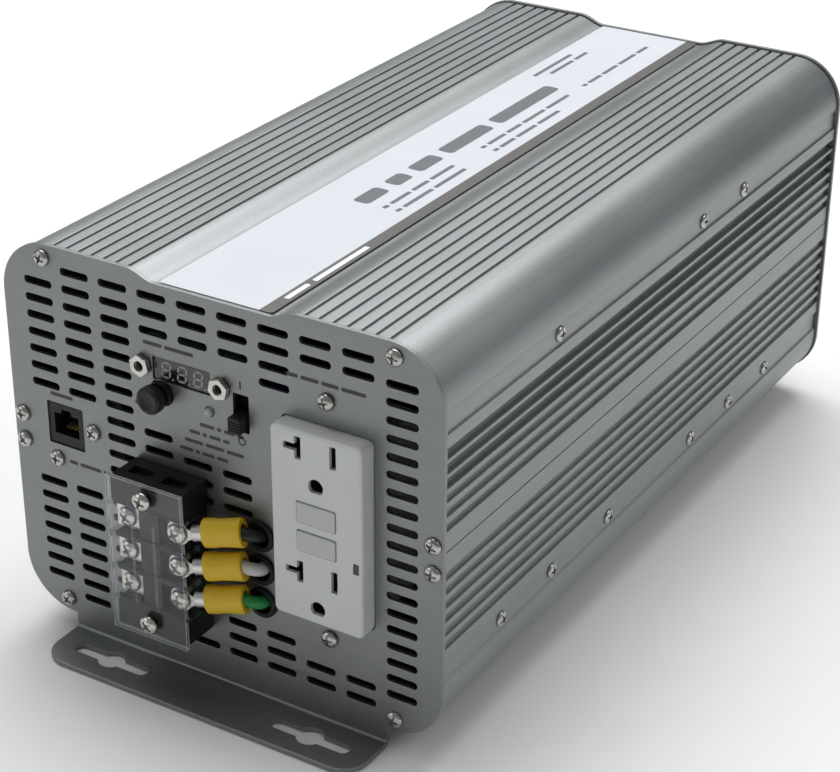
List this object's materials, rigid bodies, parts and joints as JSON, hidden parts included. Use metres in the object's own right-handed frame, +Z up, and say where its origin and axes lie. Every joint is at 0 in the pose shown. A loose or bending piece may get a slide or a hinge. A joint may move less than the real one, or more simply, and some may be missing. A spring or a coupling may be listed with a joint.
{
  "type": "power inverter",
  "caption": "Boxy DC to AC power inverter: ribbed aluminium housing, vented end panels with slotted feet, duplex outlet, covered AC terminal block, rear cooling fans.",
  "frame": {"origin": "centre of the plan on the underside of the two feet", "axes": "+X to the right seen from the front panel, +Y from the front panel towards the rear panel, +Z up"},
  "size_m": [0.164, 0.338, 0.1422],
  "materials": {
    "anodised_aluminium": "satin anodised extrusion",
    "panel_grey": "satin metallic grey",
    "printed_label": "satin white film with a dark grey stripe",
    "outlet_white": "satin off-white",
    "nickel_steel": "bright nickel plate",
    "dark_window": "glossy smoked",
    "circuit_board": "green solder mask",
    "black_plastic": "satin moulded",
    "clear_plastic": "clear moulded plastic",
    "yellow_vinyl": "smooth vinyl",
    "wire_black": "smooth vinyl",
    "wire_white": "smooth vinyl",
    "wire_green": "smooth vinyl",
    "black_rubber": "matte rubber",
    "red_plastic": "moulded red",
    "brass": "turned brass",
    "ferrite": "dark ferrite core",
    "capacitor_sleeve": "shrink sleeve"
  },
  "bodies": {
    "root": {"ac_wire_1": "wire_black", "ac_wire_2": "wire_white", "ac_wire_3": "wire_green", "bus_capacitor": "capacitor_sleeve", "cover_screw_lower": "nickel_steel", "cover_screw_upper": "nickel_steel", "dc_bush_negative": "black_plastic", "dc_bush_positive": "red_plastic", "dc_nut_negative": "nickel_steel", "dc_nut_positive": "nickel_steel", "dc_stud_negative": "brass", "dc_stud_positive": "brass", "display_board": "circuit_board", "display_module": "dark_window", "display_nut_left": "nickel_steel", "display_nut_right": "nickel_steel", "fan_frame_left": "black_plastic", "fan_frame_right": "black_plastic", "fan_guard_left": "nickel_steel", "fan_guard_right": "nickel_steel", "front_panel": "panel_grey", "function_switch": "black_plastic", "grommet_1": "black_rubber", "grommet_2": "black_rubber", "grommet_3": "black_rubber", "ground_screw": "brass", "heat_bar_left": "anodised_aluminium", "heat_bar_right": "anodised_aluminium", "lower_housing": "anodised_aluminium", "lug_1": "nickel_steel", "lug_2": "nickel_steel", "lug_3": "nickel_steel", "lug_sleeve_1": "yellow_vinyl", "lug_sleeve_2": "yellow_vinyl", "lug_sleeve_3": "yellow_vinyl", "main_board": "circuit_board", "outlet_body": "outlet_white", "outlet_face": "outlet_white", "outlet_screw_lower": "nickel_steel", "outlet_screw_upper": "nickel_steel", "outlet_strap": "nickel_steel", "power_switch_body": "black_plastic", "rear_panel": "panel_grey", "remote_jack": "black_plastic", "status_led": "clear_plastic", "terminal_block": "black_plastic", "terminal_cover": "clear_plastic", "terminal_screw_1": "nickel_steel", "terminal_screw_2": "nickel_steel", "terminal_screw_3": "nickel_steel", "top_label": "printed_label", "transformer_left": "ferrite", "transformer_right": "ferrite", "upper_housing": "anodised_aluminium"},
    "function_button_body": {"function_button": "black_plastic"},
    "power_switch_slider_body": {"power_switch_slider": "black_plastic"},
    "test_button_body": {"test_button": "outlet_white"},
    "reset_button_body": {"reset_button": "outlet_white"},
    "fan_rotor_left_body": {"fan_rotor_left": "black_plastic"},
    "fan_rotor_right_body": {"fan_rotor_right": "black_plastic"}
  },
  "joints": [
    {"name": "function_press", "type": "slide", "parent": "root", "child": "function_button_body", "axis": [0, 1, 0], "range_m": [0, 0.0015], "stiffness_N_per_m": 400},
    {"name": "power_switch_slide", "type": "slide", "parent": "root", "child": "power_switch_slider_body", "axis": [0, 0, 1], "range_m": [0, 0.0054]},
    {"name": "test_press", "type": "slide", "parent": "root", "child": "test_button_body", "axis": [0, 1, 0], "range_m": [0, 0.001], "stiffness_N_per_m": 600},
    {"name": "reset_press", "type": "slide", "parent": "root", "child": "reset_button_body", "axis": [0, 1, 0], "range_m": [0, 0.001], "stiffness_N_per_m": 600},
    {"name": "fan_spin_left", "type": "hinge", "parent": "root", "child": "fan_rotor_left_body", "pos_m": [-0.035, 0.137, 0.0965], "axis": [0, 1, 0], "continuous": true},
    {"name": "fan_spin_right", "type": "hinge", "parent": "root", "child": "fan_rotor_right_body", "pos_m": [0.035, 0.137, 0.0965], "axis": [0, 1, 0], "continuous": true}
  ]
}
